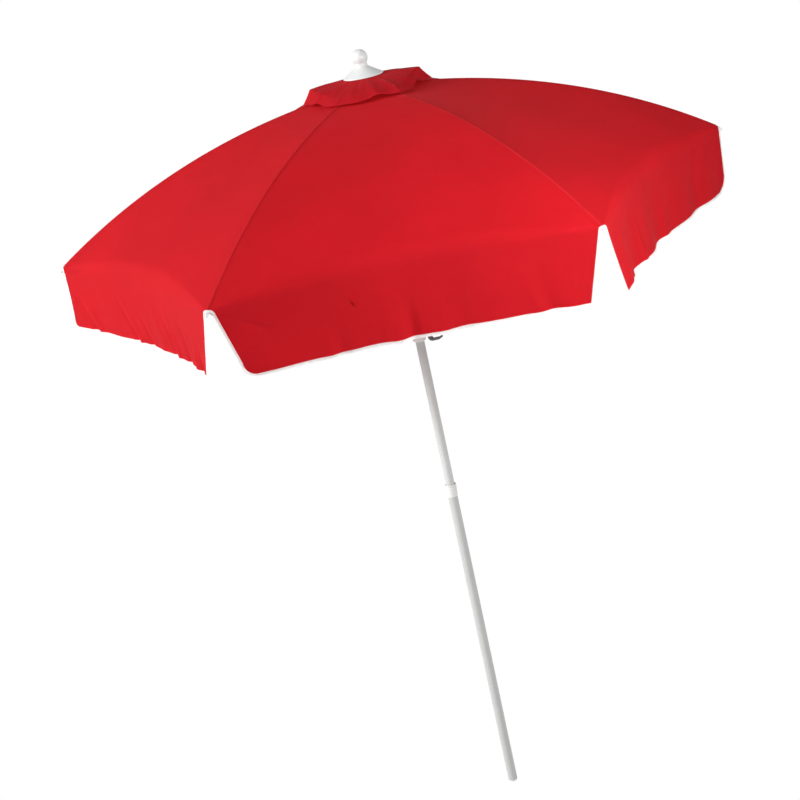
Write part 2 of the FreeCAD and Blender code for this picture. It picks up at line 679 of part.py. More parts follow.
def band_profile(name, angle):
    """The band's section in one rib plane: two concentric arcs, closed at the
    vent opening and at the tip."""
    s = doc.addObject("Sketcher::SketchObject", name)
    ro, ri = val("canopy_arc_radius + fabric_thickness/2"), val("canopy_arc_radius - fabric_thickness/2")
    cx, cz = -val("arc_centre_offset"), val(ARC_Z)
    x0, x1 = val("vent_opening_radius"), val("tip_radius")

    def at(r, x):
        return Vector(x, cz + (r * r - (x - cx) ** 2) ** 0.5, 0)

    def arc(r):
        a0, a1 = at(r, x0), at(r, x1)
        c = Part.Circle(Vector(cx, cz, 0), Vector(0, 0, 1), r)
        return Part.ArcOfCircle(c, c.parameter(a1), c.parameter(a0))

    s.addGeometry(arc(ro), False)
    s.addGeometry(arc(ri), False)
    s.addGeometry(Part.LineSegment(at(ro, x1), at(ri, x1)), False)
    s.addGeometry(Part.LineSegment(at(ro, x0), at(ri, x0)), False)
    add = s.addConstraint
    add(Sketcher.Constraint("Coincident", 0, 1, 2, 1))
    add(Sketcher.Constraint("Coincident", 1, 1, 2, 2))
    add(Sketcher.Constraint("Coincident", 0, 2, 3, 1))
    add(Sketcher.Constraint("Coincident", 1, 2, 3, 2))
    add(Sketcher.Constraint("Coincident", 0, 3, 1, 3))
    add(Sketcher.Constraint("Vertical", 2))
    add(Sketcher.Constraint("Vertical", 3))
    for kind, args, value, text in (
        ("Radius", (0,), ro, "canopy_arc_radius + fabric_thickness/2"),
        ("Radius", (1,), ri, "canopy_arc_radius - fabric_thickness/2"),
        ("DistanceX", (0, 3, -1, 1), -cx, "arc_centre_offset"),
        ("DistanceY", (-1, 1, 0, 3), cz, ARC_Z),
        ("DistanceX", (-1, 1, 2, 1), x1, "tip_radius"),
        ("DistanceX", (-1, 1, 3, 1), x0, "vent_opening_radius"),
    ):
        k = add(Sketcher.Constraint(kind, *args, value))
        s.setExpression("Constraints[%d]" % k, f(text))
    flip = Rotation(Vector(1, 0, 0), 90)
    s.Placement = Placement(Vector(0, 0, 0), Rotation(Vector(0, 0, 1), angle).multiply(flip))
    side = 1.0 if angle < 0 else -1.0
    bind(s, Placement__Base__y="%g*seam_gap/2" % side)
    return s


def wedge(name, thick, top_half, low_half, z_low, z_top, x0):
    """A flat hanging trapezium: X is its thickness, Y its width."""
    w = doc.addObject("Part::Wedge", name)
    # the wedge's own Y is up, X is its width and Z its thickness
    bind(w, Xmin="-(%s)" % low_half, Xmax=low_half, X2min="-(%s)" % top_half, X2max=top_half,
         Ymin="0", Ymax="%s - (%s)" % (z_top, z_low), Zmin="0", Zmax=thick, Z2min="0", Z2max=thick)
    w.Placement = Placement(Vector(0, 0, 0), Rotation(Vector(1, 1, 1), 120))
    bind(w, Placement__Base__x=x0, Placement__Base__z=z_low)
    return w


SLOPE = "((valance_slit_half_bottom - valance_slit_half_top)/valance_drop)"
BW_SIDE = "(binding_width*sqrt(1 + %s^2))" % SLOPE
for k in range(SECTORS):
    mid = 60.0 * k + 30.0
    loft = doc.addObject("Part::Loft", "GoreBand%d" % k)
    loft.Sections = [band_profile("GoreA%d" % k, -HALF), band_profile("GoreB%d" % k, HALF)]
    loft.Solid = True
    loft.Ruled = True
    drop = wedge("GoreDrop%d" % k, "fabric_thickness", TOP_HALF, LOW_HALF,
                 "tip_plane_height - valance_drop", "tip_plane_height + 0.2", "%s - fabric_thickness" % TIP_U)
    hanging = cut("Valance%d" % k, drop, loft)
    keep(turn(group("Gore%d" % k, loft), mid), "canopy_gore_%d" % (k + 1))
    keep(turn(hanging, mid), "valance_%d" % (k + 1))
    outer = wedge("BindOuter%d" % k, "binding_thickness", TOP_HALF, LOW_HALF,
                  "tip_plane_height - valance_drop", "tip_plane_height", TIP_U)
    inner = wedge("BindInner%d" % k, "binding_thickness*4",
                  "%s - %s" % (TOP_HALF, BW_SIDE), "%s - %s - %s*binding_width" % (LOW_HALF, BW_SIDE, SLOPE + "*(-1)"),
                  "tip_plane_height - valance_drop + binding_width", "tip_plane_height + 0.001", "%s - binding_thickness" % TIP_U)
    keep(turn(cut("Bind%d" % k, outer, inner), mid), "valance_binding_%d" % (k + 1))

# ---- Check and write -------------------------------------------------------
doc.recompute()
for o in doc.Objects:
    if "Invalid" in o.State or "Error" in o.State:
        raise RuntimeError("%s (%s) failed: %s" % (o.Name, o.Label, o.State))
labels = [p.Label for p in pieces]
if len(labels) != len(set(labels)) or len(labels) > 60:
    raise RuntimeError("labels repeat, or too many pieces")
os.makedirs("parts", exist_ok=True)
for p in pieces:
    s = p.Shape
    if s.isNull() or not s.isValid() or not s.Solids:
        raise RuntimeError("%s has no valid solid" % p.Label)
    s.exportStep("parts/%s.step" % p.Label)
    b = s.BoundBox
    print("%-20s solids %d vol %.0f  x %.1f..%.1f y %.1f..%.1f z %.1f..%.1f" % (
        p.Label, len(s.Solids), s.Volume, b.XMin, b.XMax, b.YMin, b.YMax, b.ZMin, b.ZMax))
for name, text in (("hub pivot z", HUB_Z), ("stretcher pivot x", PIV_X), ("stretcher pivot z", PIV_Z), ("stretcher length", STR_L)):
    print(name, round(val(text), 4))
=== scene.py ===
import random
from math import asin, cos, degrees, exp, pi, radians, sin, sqrt

import bmesh
import bpy
from mathutils import Matrix, Vector


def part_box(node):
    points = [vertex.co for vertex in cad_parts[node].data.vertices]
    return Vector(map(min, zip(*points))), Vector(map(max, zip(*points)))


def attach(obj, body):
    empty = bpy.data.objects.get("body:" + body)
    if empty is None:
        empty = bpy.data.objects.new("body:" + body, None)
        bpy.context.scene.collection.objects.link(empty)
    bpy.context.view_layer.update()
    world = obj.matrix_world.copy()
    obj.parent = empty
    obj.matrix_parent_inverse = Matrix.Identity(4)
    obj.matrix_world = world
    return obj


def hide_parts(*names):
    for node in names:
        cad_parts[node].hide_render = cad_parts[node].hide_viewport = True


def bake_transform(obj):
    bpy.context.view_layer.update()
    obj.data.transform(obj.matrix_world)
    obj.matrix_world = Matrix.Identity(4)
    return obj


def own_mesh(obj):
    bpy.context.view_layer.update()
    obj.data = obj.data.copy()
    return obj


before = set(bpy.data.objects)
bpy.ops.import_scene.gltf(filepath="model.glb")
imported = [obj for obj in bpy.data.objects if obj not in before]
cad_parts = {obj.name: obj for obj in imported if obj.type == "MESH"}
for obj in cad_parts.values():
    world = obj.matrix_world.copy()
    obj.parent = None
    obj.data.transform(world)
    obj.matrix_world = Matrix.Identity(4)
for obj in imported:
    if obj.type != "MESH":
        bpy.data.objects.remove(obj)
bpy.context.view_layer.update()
scene = bpy.context.scene

# ---- Camera ------------------------------------------------------------------
# Looks slightly down on the canopy from the front, rolled so that the upright
# parasol leans to the left in the frame.
CAMERA_PLACE = Vector((0.0, -4.24899, 2.76931))
CAMERA_AIM = Vector((-0.08967, 0.0, 1.29555))
CAMERA_ROLL = radians(-12.4205)


def aimed(place, aim):
    """Where a camera or lamp goes that stands at place and looks at aim."""
    turn = (aim - place).to_track_quat("-Z", "Y")
    return Matrix.Translation(place) @ turn.to_matrix().to_4x4()


cam_data = bpy.data.cameras.new("camera")
cam_data.sensor_width = 36.0
cam_data.lens = 71.404
cam_data.clip_end = 200.0
camera = bpy.data.objects.new("camera", cam_data)
scene.collection.objects.link(camera)
camera.matrix_world = aimed(CAMERA_PLACE, CAMERA_AIM) @ Matrix.Rotation(CAMERA_ROLL, 4, "Z")
scene.camera = camera


# ---- Studio ------------------------------------------------------------------
# White surround, a broad soft key on the left, a weaker light near the front
# edge on the right, and a pale floor that stays clear of shadows.
def tune(node, **values):
    """Sets a shader node's inputs. In their names here, _ stands for a space."""
    for name, value in values.items():
        node.inputs[name.replace("_", " ")].default_value = value
    return node


def add(tree, kind, **values):
    return tune(tree.nodes.new("ShaderNode" + kind), **values)


scene.view_settings.view_transform = "Standard"
world = bpy.data.worlds.new("studio")
scene.world = world
world.use_nodes = True
sky = world.node_tree
sky.nodes.clear()
sky_out = add(sky, "OutputWorld")
sky_mix = add(sky, "MixShader")
sky_ray = add(sky, "LightPath")
sky_seen = add(sky, "Background", Color=(1, 1, 1, 1), Strength=1.0)
sky_fill = add(sky, "Background", Color=(0.96, 0.98, 1, 1), Strength=0.46)
sky.links.new(sky_ray.outputs["Is Camera Ray"], sky_mix.inputs["Fac"])
sky.links.new(sky_fill.outputs[0], sky_mix.inputs[1])
sky.links.new(sky_seen.outputs[0], sky_mix.inputs[2])
sky.links.new(sky_mix.outputs[0], sky_out.inputs["Surface"])


def soft_light(name, place, aim, size, watts):
    lamp = bpy.data.lights.new(name, "AREA")
    lamp.shape = "DISK"
    lamp.size = size
    lamp.energy = watts
    lamp_obj = bpy.data.objects.new(name, lamp)
    scene.collection.objects.link(lamp_obj)
    lamp_obj.matrix_world = aimed(Vector(place), Vector(aim))


soft_light("key", (-5.4, -1.3, 4.2), (0, 0, 1.8), size=2.0, watts=580)
soft_light("front right", (1.15, -1.65, 2.28), (0.42, -0.7, 1.85), size=0.8, watts=36)

FLOOR_SIZE = 30.0
FLOOR_BELOW = 0.002
floor_bm = bmesh.new()
bmesh.ops.create_grid(floor_bm, x_segments=2, y_segments=2, size=FLOOR_SIZE)
floor_mesh = bpy.data.meshes.new("floor")
floor_bm.to_mesh(floor_mesh)
floor_bm.free()
floor = bpy.data.objects.new("floor", floor_mesh)
scene.collection.objects.link(floor)
floor.location.z = -FLOOR_BELOW
floor_paint = bpy.data.materials.new("pale floor")
floor_paint.use_nodes = True
ground = floor_paint.node_tree
matt = tune(
    ground.nodes["Principled BSDF"],
    Base_Color=(0.6, 0.6, 0.6, 1), Roughness=0.9,
    Emission_Color=(1, 1, 1, 1), Emission_Strength=0.35,
)
ground_ray = add(ground, "LightPath")
ground_glow = add(ground, "Emission")
ground_mix = add(ground, "MixShader")
ground.links.new(ground_ray.outputs["Is Camera Ray"], ground_mix.inputs["Fac"])
ground.links.new(matt.outputs[0], ground_mix.inputs[1])
ground.links.new(ground_glow.outputs[0], ground_mix.inputs[2])
ground.links.new(ground_mix.outputs[0], ground.nodes["Material Output"].inputs["Surface"])
floor_mesh.materials.append(floor_paint)


# ---- Pole tubes --------------------------------------------------------------
# Two lengths of drawn steel tube, one sliding in the other, with a light grey
# powder coat that has a fine orange-peel skin. The upper one's coat is painted a
# shade lighter: painted light that makes up for the canopy's shade on it.
def two_tones(tree, colour, mottle, low, high):
    """A ramp from a darker to a lighter tone of a colour, between two values of a noise."""
    ramp = add(tree, "ValToRGB")
    dark, light = ramp.color_ramp.elements
    for stop, place, share in ((dark, low, 1 - mottle), (light, high, 1 + mottle)):
        stop.position = place
        stop.color = (*[min(1.0, c * share) for c in colour], 1)
    return ramp


def paint(name, colour, rough, grain, depth, mottle=0.03, coat=0.0):
    """A coat or a moulded skin, with its grain as a noise scale and the grain's depth in metres."""
    material = bpy.data.materials.new(name)
    material.use_nodes = True
    tree = material.node_tree
    shader = tune(tree.nodes["Principled BSDF"], Coat_Weight=coat)
    where = add(tree, "TexCoord")
    cloud = add(tree, "TexNoise", Scale=9.0, Detail=4.0)
    tone = two_tones(tree, colour, mottle, 0.35, 0.65)
    skin = add(tree, "TexNoise", Scale=grain, Detail=2.0)
    bump = add(tree, "Bump", Strength=0.35, Distance=depth)
    gloss = add(tree, "MapRange", To_Min=rough * 0.85, To_Max=rough * 1.15)
    link = tree.links.new
    link(where.outputs["Object"], cloud.inputs["Vector"])
    link(where.outputs["Object"], skin.inputs["Vector"])
    link(cloud.outputs["Fac"], tone.inputs["Fac"])
    link(cloud.outputs["Fac"], gloss.inputs["Value"])
    link(tone.outputs["Color"], shader.inputs["Base Color"])
    link(gloss.outputs["Result"], shader.inputs["Roughness"])
    link(skin.outputs["Fac"], bump.inputs["Height"])
    link(bump.outputs["Normal"], shader.inputs["Normal"])
    return material


def repaint(nodes, material):
    for name in nodes:
        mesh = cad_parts[name].data
        mesh.materials.clear()
        mesh.materials.append(material)


lower_paint = paint("light grey powder coat", (0.375, 0.385, 0.375), 0.36, 900.0, 0.0003, coat=0.12)
# The upper tube's tone is lighter than the lower's only as painted light against the shade under the
# canopy.
upper_paint_lightened_for_shade = paint("upper tube's powder coat", (0.42, 0.44, 0.43), 0.36, 900.0, 0.0003, coat=0.12)
repaint(["lower_tube"], lower_paint)
repaint(["upper_tube"], upper_paint_lightened_for_shade)

# ---- Collar, foot plug and rib tips ------------------------------------------
# White moulded plastic: the twist collar over the joint of the tubes, the plug
# pressed into the pole's lower end and the caps pushed on the ribs' tips.
ARMS = range(1, 7)
white_plastic = paint("white moulded plastic", (0.53, 0.54, 0.53), 0.38, 420.0, 0.0002, mottle=0.012)
repaint(["collar", "foot_plug"] + ["rib_tip_%d" % arm for arm in ARMS], white_plastic)

# ---- Hub, runner and lever ---------------------------------------------------
# Off-white moulded plastic with a fine spark-eroded skin. The release lever in
# the runner is dark grey and a little shinier.
frame_plastic = paint("off-white moulded plastic", (0.66, 0.66, 0.64), 0.45, 650.0, 0.0003, mottle=0.02)
repaint(["hub", "runner", "vent_spacer", "upper_tube_bush", "stop_ring"], frame_plastic)
lever_plastic = paint("dark grey plastic", (0.085, 0.085, 0.09), 0.42, 800.0, 0.0003, mottle=0.08)
repaint(["release_lever"], lever_plastic)

# ---- Ribs, brackets and stretchers -------------------------------------------
# Bent and flattened steel rod under a white coat, with plain zinc-plated pins
# and stud.
white_coat = paint("white-coated steel", (0.62, 0.63, 0.62), 0.32, 700.0, 0.0002, mottle=0.03, coat=0.2)
repaint(["%s_%d" % (part, arm) for part in ("rib", "rib_bracket", "stretcher") for arm in ARMS], white_coat)
zinc = paint("zinc-plated steel", (0.58, 0.59, 0.60), 0.3, 1200.0, 0.0001, mottle=0.06)
tune(zinc.node_tree.nodes["Principled BSDF"], Metallic=1.0)
repaint(["hub_pins", "finial_stud", "lever_pin"], zinc)

# ---- Canopy panels -----------------------------------------------------------
# Six gores of red plain-weave polyester, stretched over the ribs and sewn to
# each other along them. Between two ribs a gore lies level and sags slightly,
# and its edge curves in and turns down into the valance.
C30 = cos(pi / 6)  # from a rib's radius to that of a gore's middle line
TIP_R, TIP_Z = 0.914, 1.869  # the ribs' tips
VENT_R = 0.105  # the opening under the vent cap
ARC_R, ARC_BACK = 1.8, 0.093  # the ribs' arc, and how far past the pole its centre lies
EDGE_BOW = 0.05  # how far in the edge curves between two ribs
SAG = 0.009  # how far a gore sags halfway up its middle line
SLANT = 0.911  # outward share of a step along the cloth near the edge
TURN_RIB, TURN_MIDDLE = 0.004, 0.03  # half the turn at the edge, by a rib and what the middle adds
STRAIGHT = 0.012  # the gore's own cloth below the turn
HEM_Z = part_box("valance_1")[0].z - 0.014  # the hem sags between the ribs
DROP = TIP_Z - HEM_Z
HEM_BOW, HEM_LIFT = 0.038, -0.004  # the hem's middle, in and up
TUCK = 0.0015  # how far the raw edge lies inside its tape
LOOSE = 0.11  # how far from a slit its edge's flare and droop reach
CLOTH = 0.0009  # the red cloth's thickness, but see cloth_piece

# How each slit's edge hangs: (arch radius, gap at the hem, corner radius, flare outwards, droop)
SIDES = {-1: "start", 1: "end"}
SLITS = {(gore, side): (0.010, 0.052, 0.028, 0.004, 0.0) for gore in ARMS for side in SIDES}
SLITS[4, -1] = (0.005, 0.014, 0.022, 0.012, -0.006)
SLITS[4, 1] = (0.012, 0.082, 0.008, 0.006, 0.003)
SLITS[5, -1] = (0.010, 0.056, 0.036, 0.002, 0.0)
SLITS[5, 1] = (0.006, 0.053, 0.008, 0.0, 0.002)
SLITS[6, -1] = (0.009, 0.058, 0.006, 0.010, 0.012)
SLITS[6, 1] = (0.005, 0.022, 0.050, 0.003, 0.0)

# Folds, as (place across the hem, width, depth outwards, where it starts, lean, where it ends)
FOLDS = {
    4: [
        (-0.335, 0.012, -0.0055, 0.25, -0.14), (-0.305, 0.014, 0.005, 0.3, -0.13),
        (-0.20, 0.05, 0.004, 0.1, -0.1), (-0.105, 0.011, -0.005, 0.3, -0.15),
        (-0.08, 0.014, 0.005, 0.3, -0.15), (-0.02, 0.010, -0.005, 0.5, -0.12),
        (0.06, 0.03, 0.004, 0.3, -0.08), (0.135, 0.011, -0.005, 0.3, -0.12),
        (0.165, 0.016, 0.005, 0.3, -0.12), (0.235, 0.012, -0.006, 0.4, -0.07),
        (0.30, 0.014, 0.0045, 0.5, -0.03), (0.335, 0.010, -0.006, 0.6, -0.02),
    ],
    5: [
        (-0.33, 0.05, 0.004, 0.3, -0.03), (-0.205, 0.018, 0.005, 0.55, 0.0),
        (-0.175, 0.016, -0.004, 0.6, 0.0), (-0.11, 0.04, -0.006, 0.35, 0.0),
        (-0.045, 0.022, 0.011, 0.25, 0.01), (-0.01, 0.016, -0.006, 0.35, 0.01),
        (0.06, 0.022, 0.007, 0.4, 0.02), (0.115, 0.026, -0.006, 0.35, 0.02),
        (0.20, 0.06, 0.004, 0.2, 0.02), (0.285, 0.02, 0.006, 0.3, -0.05),
        (0.32, 0.018, -0.006, 0.3, -0.04), (0.36, 0.02, 0.005, 0.2, 0.03),
        (-0.20, 0.02, -0.005, 0.05, -0.24, 0.6), (-0.13, 0.018, 0.004, 0.05, -0.33, 0.5),
    ],
    6: [
        (-0.335, 0.04, 0.008, 0.05, -0.03), (-0.25, 0.045, -0.008, 0.02, 0.02),
        (-0.29, 0.012, 0.005, 0.3, -0.06), (-0.12, 0.06, 0.010, 0.05, -0.02),
        (-0.17, 0.014, 0.005, 0.3, -0.03), (-0.02, 0.045, -0.008, 0.05, 0.0),
        (0.03, 0.018, 0.005, 0.3, 0.02), (0.16, 0.07, 0.008, 0.0, 0.0),
        (0.25, 0.04, -0.005, 0.1, 0.02), (0.32, 0.05, 0.005, 0.0, 0.02),
        (0.41, 0.03, -0.004, 0.2, 0.0),
    ],
}
chance = random.Random(11)
for far in (1, 2, 3):
    FOLDS[far] = [
        (
            -0.38 + 0.075 * i + chance.uniform(-0.02, 0.02),
            chance.uniform(0.012, 0.04),
            chance.choice((-1, 1)) * chance.uniform(0.003, 0.008),
            chance.uniform(0.05, 0.5),
            chance.uniform(-0.08, 0.08),
        )
        for i in range(11)
    ]


def arm_beside(gore, side):
    """The number of the rib on that side of a gore."""
    return gore if side < 0 else gore % 6 + 1


def bearing(arm):
    return radians(60 * arm - 60)


def in_row(gore, side, u, v, z):
    """A point of a gore: u out along its middle line, v to that side of it, z up."""
    a = radians(60 * gore - 30)
    return Vector((u * cos(a) - side * v * sin(a), u * sin(a) + side * v * cos(a), z))


def crown(r):
    """The height of the ribs' arc at radius r."""
    return TIP_Z + sqrt(ARC_R**2 - (r + ARC_BACK) ** 2) - sqrt(ARC_R**2 - (TIP_R + ARC_BACK) ** 2)


def roof(r, share):
    """(across, up) of a gore at radius r of the ribs, where share runs from 0 mid gore to 1 at a rib."""
    reach = min(1.0, max(0.0, (r - VENT_R) / (TIP_R - VENT_R)))
    return r * C30, crown(r) - SAG * (1 - share**2) * sin(pi * reach) ** 2


# In the functions that follow, bow runs from 0 at a rib to 1 in the middle of a gore.
def valance_length(bow):
    return crown(TIP_R - EDGE_BOW * bow) - HEM_Z - HEM_LIFT * bow


def half_turn(bow):
    """Half the length of cloth that turns down at the canopy's edge."""
    return TURN_RIB + TURN_MIDDLE * bow


def ripple(gore, v, w):
    """How far the folds push the cloth outwards at v across the gore and share w of the way down."""
    push = 0.0
    for place, width, depth, start, lean, *end in FOLDS[gore]:
        grow = min(1.0, max(0.0, (w - start) / (1 - start)))
        if end:
            grow = sin(pi * min(1.0, max(0.0, (w - start) / (end[0] - start)))) ** 2
        wide = width * (0.45 + 0.55 * w)
        off = (v - place - lean * (1 - w)) / wide
        push += depth * grow * (2 - grow) * grow ** 0.5 * exp(-(off ** 2))
    return push


def fall(bow, s):
    """(across, up) of the cloth at s metres past the canopy's edge."""
    edge = TIP_R - EDGE_BOW * bow
    turn = half_turn(bow)
    share = sqrt(max(0.0, 1 - bow))
    long = valance_length(bow)

    def hang(d):
        w = d / long
        return edge * C30 + (TIP_R * C30 - HEM_BOW * bow - edge * C30) * w, crown(edge) - long * w

    if s <= -turn:
        return roof(edge + SLANT * s, share)
    if s >= turn:
        return hang(s)
    k = (s + turn) / (2 * turn)
    a, b, c = roof(edge - SLANT * turn, share), (edge * C30, crown(edge)), hang(turn)
    return tuple((1 - k) ** 2 * p + 2 * k * (1 - k) * q + k * k * r for p, q, r in zip(a, b, c))


def drape(gore, side, v, x):
    """Where a point of the flat cloth lies: v from the gore's middle line, x down from the edge."""
    gap, flare, droop = SLITS[gore, side][1], SLITS[gore, side][3], SLITS[gore, side][4]
    bow = 0.5
    for _ in range(6):
        reach = (TIP_R - EDGE_BOW * bow) / 2 + (SLANT / 2 * x if x < 0 else -gap * x / DROP)
        bow = 1 - min(1.0, v / reach) ** 2
    if x < 0:
        v = min(v, reach)
    s = x if x < 0 else x * valance_length(bow) / DROP
    w = max(0.0, s) / valance_length(bow)
    u, z = fall(bow, s)
    loose = w * w * exp(-(((TIP_R / 2 - v) / LOOSE) ** 2))
    return in_row(gore, side, u + ripple(gore, side * v, w) + flare * loose, v, z - droop * loose)


def slit_edge(gore, side, x):
    """Half a valance's width at depth x: an arch on top, a straight edge, a round corner at the hem."""
    loop, gap, corner = SLITS[gore, side][:3]
    arch = loop * sqrt(max(0.0, 1 - (1 - min(x, loop) / loop) ** 2))
    past = max(0.0, (x - DROP) / corner + 1)
    round_off = corner * (1 - sqrt(max(0.0, 1 - past**2)))
    return TIP_R / 2 - arch - (gap - loop) * x / DROP - round_off


def fold_end(gore, side, p):
    """Where a gore's own cloth ends and its valance begins: (half width, depth) in the flat."""
    bow = 1 - (1 - p) ** 2
    x = (half_turn(bow) + STRAIGHT) * DROP / valance_length(bow)
    return (1 - p) * (slit_edge(gore, side, x) - TUCK), x


ROOF_ROWS = 0.86  # share of a gore's rows that lie above its turn
ROW_EASE = 1.6  # crowds the rest towards the valance


def lay_gore(gore, side, p, t):
    p = (1 - cos(pi * p)) / 2
    bow = 1 - (1 - p) ** 2
    turn = half_turn(bow)
    edge = TIP_R - EDGE_BOW * bow
    if t <= ROOF_ROWS:
        s = -turn - ((edge - VENT_R) / SLANT - turn) * (1 - t / ROOF_ROWS)
        v = (1 - p) * (edge + SLANT * s) / 2
        u, z = fall(bow, s)
        return in_row(gore, side, u, v, z), (side * v, s)
    v1, x1 = fold_end(gore, side, p)
    k = 1 - (1 - (t - ROOF_ROWS) / (1 - ROOF_ROWS)) ** ROW_EASE
    v = (1 - p) * (edge - SLANT * turn) / 2 * (1 - k) + v1 * k
    x = -turn * (1 - k) + x1 * k
    return drape(gore, side, v, x), (side * v, x)


def cloth_piece(name, across, down, lay, thick, material):
    """A sheet that starts as a flat grid.

    lay gives, for each point's share across and down, its place and its place in the flat cloth.
    Known fault: the faces that are kept turn round, so both skins move outwards by half of thick
    and lie in one place, and the sheet has no thickness.
    """
    bm = bmesh.new()
    bmesh.ops.create_grid(bm, x_segments=across, y_segments=down, size=0.5)
    laid = {v.index: lay(v.co.x + 0.5, v.co.y + 0.5) for v in bm.verts}
    flat = bm.loops.layers.uv.new("flat")
    for face in bm.faces:
        for loop in face.loops:
            loop[flat].uv = laid[loop.vert.index][1]
    for v in bm.verts:
        v.co = laid[v.index][0]
    area = sum(f.calc_area() for f in bm.faces)
    bm.normal_update()
    if sum(f.normal.z for f in bm.faces) < 0:
        bmesh.ops.reverse_faces(bm, faces=bm.faces)
    outer = bmesh.ops.extrude_face_region(bm, geom=bm.faces[:], use_keep_orig=True)["geom"]
    bm.normal_update()
    outer = {v for v in outer if isinstance(v, bmesh.types.BMVert)}
    for v, way in [(v, v.normal.copy()) for v in bm.verts]:
        v.co += way * (thick / 2 if v in outer else -thick / 2)
    bmesh.ops.recalc_face_normals(bm, faces=bm.faces)
    for face in bm.faces:
        face.smooth = True
    mesh = bpy.data.meshes.new(name)
    bm.to_mesh(mesh)
    bm.free()
    mesh.set_sharp_from_angle(angle=radians(50))
    mesh.materials.append(material)
    piece = bpy.data.objects.new(name, mesh)
    scene.collection.objects.link(piece)
    return piece, area


STITCH_HALF = 0.00055  # half a stitch's width
STITCH_SHARE = 0.62  # how much of each pitch is thread
STITCH_PROUD = 5.0  # how high it stands, against the weave


def woven(name, colour, thread, depth, mottle, stitch=None, stitch_colour=None):
    """Plain weave with a thread every so many metres.

    stitch is (how far its rows of stitches lie from the flat cloth's zero line, pitch).
    """
    material = bpy.data.materials.new(name)
    material.use_nodes = True
    tree = material.node_tree
    link = tree.links.new

    def calc(kind, a, b=0.0):
        step = add(tree, "Math")
        step.operation = kind
        link(a, step.inputs[0])
        if isinstance(b, float):
            step.inputs[1].default_value = b
        else:
            link(b, step.inputs[1])
        return step.outputs[0]

    shader = tune(
        tree.nodes["Principled BSDF"],
        Roughness=0.75, Specular_IOR_Level=0.1,
        Sheen_Weight=0.03, Sheen_Tint=(1.0, 0.75, 0.72, 1), Sheen_Roughness=0.4,
    )
    where = add(tree, "TexCoord")
    flat = add(tree, "UVMap")
    flat.uv_map = "flat"
    parts = add(tree, "SeparateXYZ")
    link(flat.outputs["UV"], parts.inputs[0])
    turns = 2 * pi / thread
    warp = calc("SINE", calc("MULTIPLY", parts.outputs["X"], turns))
    weft = calc("SINE", calc("MULTIPLY", parts.outputs["Y"], turns))
    weave = calc("MULTIPLY", warp, weft)
    cloud = add(tree, "TexNoise", Scale=5.0, Detail=5.0)
    slub = add(tree, "TexNoise", Scale=260.0, Detail=2.0)
    link(where.outputs["Object"], cloud.inputs["Vector"])
    link(where.outputs["Object"], slub.inputs["Vector"])
    broad = calc("MULTIPLY", cloud.outputs["Fac"], 0.7)
    fine = calc("MULTIPLY", slub.outputs["Fac"], 0.3)
    tone = two_tones(tree, colour, mottle, 0.36, 0.64)
    link(calc("ADD", broad, fine), tone.inputs["Fac"])
    shade, height = tone.outputs["Color"], weave
    if stitch:
        line, pitch = stitch
        off = calc("SUBTRACT", calc("ABSOLUTE", parts.outputs["X"]), line)
        near = calc("LESS_THAN", calc("ABSOLUTE", off), STITCH_HALF)
        along = calc("FRACT", calc("MULTIPLY", parts.outputs["Y"], 1 / pitch))
        mask = calc("MULTIPLY", near, calc("LESS_THAN", along, STITCH_SHARE))
        sewn = add(tree, "Mix")
        sewn.data_type = "RGBA"
        link(mask, sewn.inputs["Factor"])
        link(shade, sewn.inputs["A"])
        sewn.inputs["B"].default_value = (*stitch_colour, 1)
        shade = sewn.outputs["Result"]
        height = calc("ADD", weave, calc("MULTIPLY", mask, STITCH_PROUD))
    bump = add(tree, "Bump", Strength=0.4, Distance=depth)
    link(height, bump.inputs["Height"])
    link(bump.outputs["Normal"], shader.inputs["Normal"])
    link(shade, shader.inputs["Base Color"])
    return material


red_cloth = woven("red polyester", (0.55, 0.009, 0.0165), 0.0011, 0.00006, 0.035)
for gore in ARMS:
    for side, end in SIDES.items():
        arm = arm_beside(gore, side)
        piece, area = cloth_piece(
            "gore_%d_%s" % (gore, end), 44, 104,
            lambda p, t: lay_gore(gore, side, p, t), CLOTH, red_cloth,
        )
        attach(piece, "rib_arm_%d" % arm)
        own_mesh(piece)
        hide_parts("canopy_gore_%d" % gore)

# ---- Valances ----------------------------------------------------------------
# The loose lower part of each gore, which hangs from the canopy's edge between
# two slits and ripples towards its hem.
COLUMN_EASE = 1.4  # crowds the columns towards the gore's middle


def lay_valance(gore, side, p, t):
    p = 1 - (1 - p) ** COLUMN_EASE
    top = fold_end(gore, side, p)[1]
    x = top + (DROP - TUCK - top) * (1 - cos(pi * t)) / 2
    v = (1 - p) * (slit_edge(gore, side, x) - TUCK)
    return drape(gore, side, v, x), (side * v, x)


for gore in ARMS:
    for side, end in SIDES.items():
        arm = arm_beside(gore, side)
        piece, area = cloth_piece(
            "valance_%d_%s" % (gore, end), 120, 30,
            lambda p, t: lay_valance(gore, side, p, t), CLOTH, red_cloth,
        )
        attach(piece, "valance_drop_%d" % arm)
        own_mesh(piece)
        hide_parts("valance_%d" % gore)

# ---- Binding -----------------------------------------------------------------
# White woven tape, 6 mm wide when folded over the raw edge and sewn through. It
# runs round each valance and over the top of each slit.
TAPE = 0.006
TAPE_THICK = 0.0022
ARC_STEPS, EDGE_STEPS, HEM_STEPS = 12, 24, 90
white_tape = woven(
    "white binding tape", (0.90, 0.89, 0.88), 0.0016, 0.0001, 0.02,
    stitch=(0.0046, 0.004), stitch_colour=(0.74, 0.72, 0.72),
)


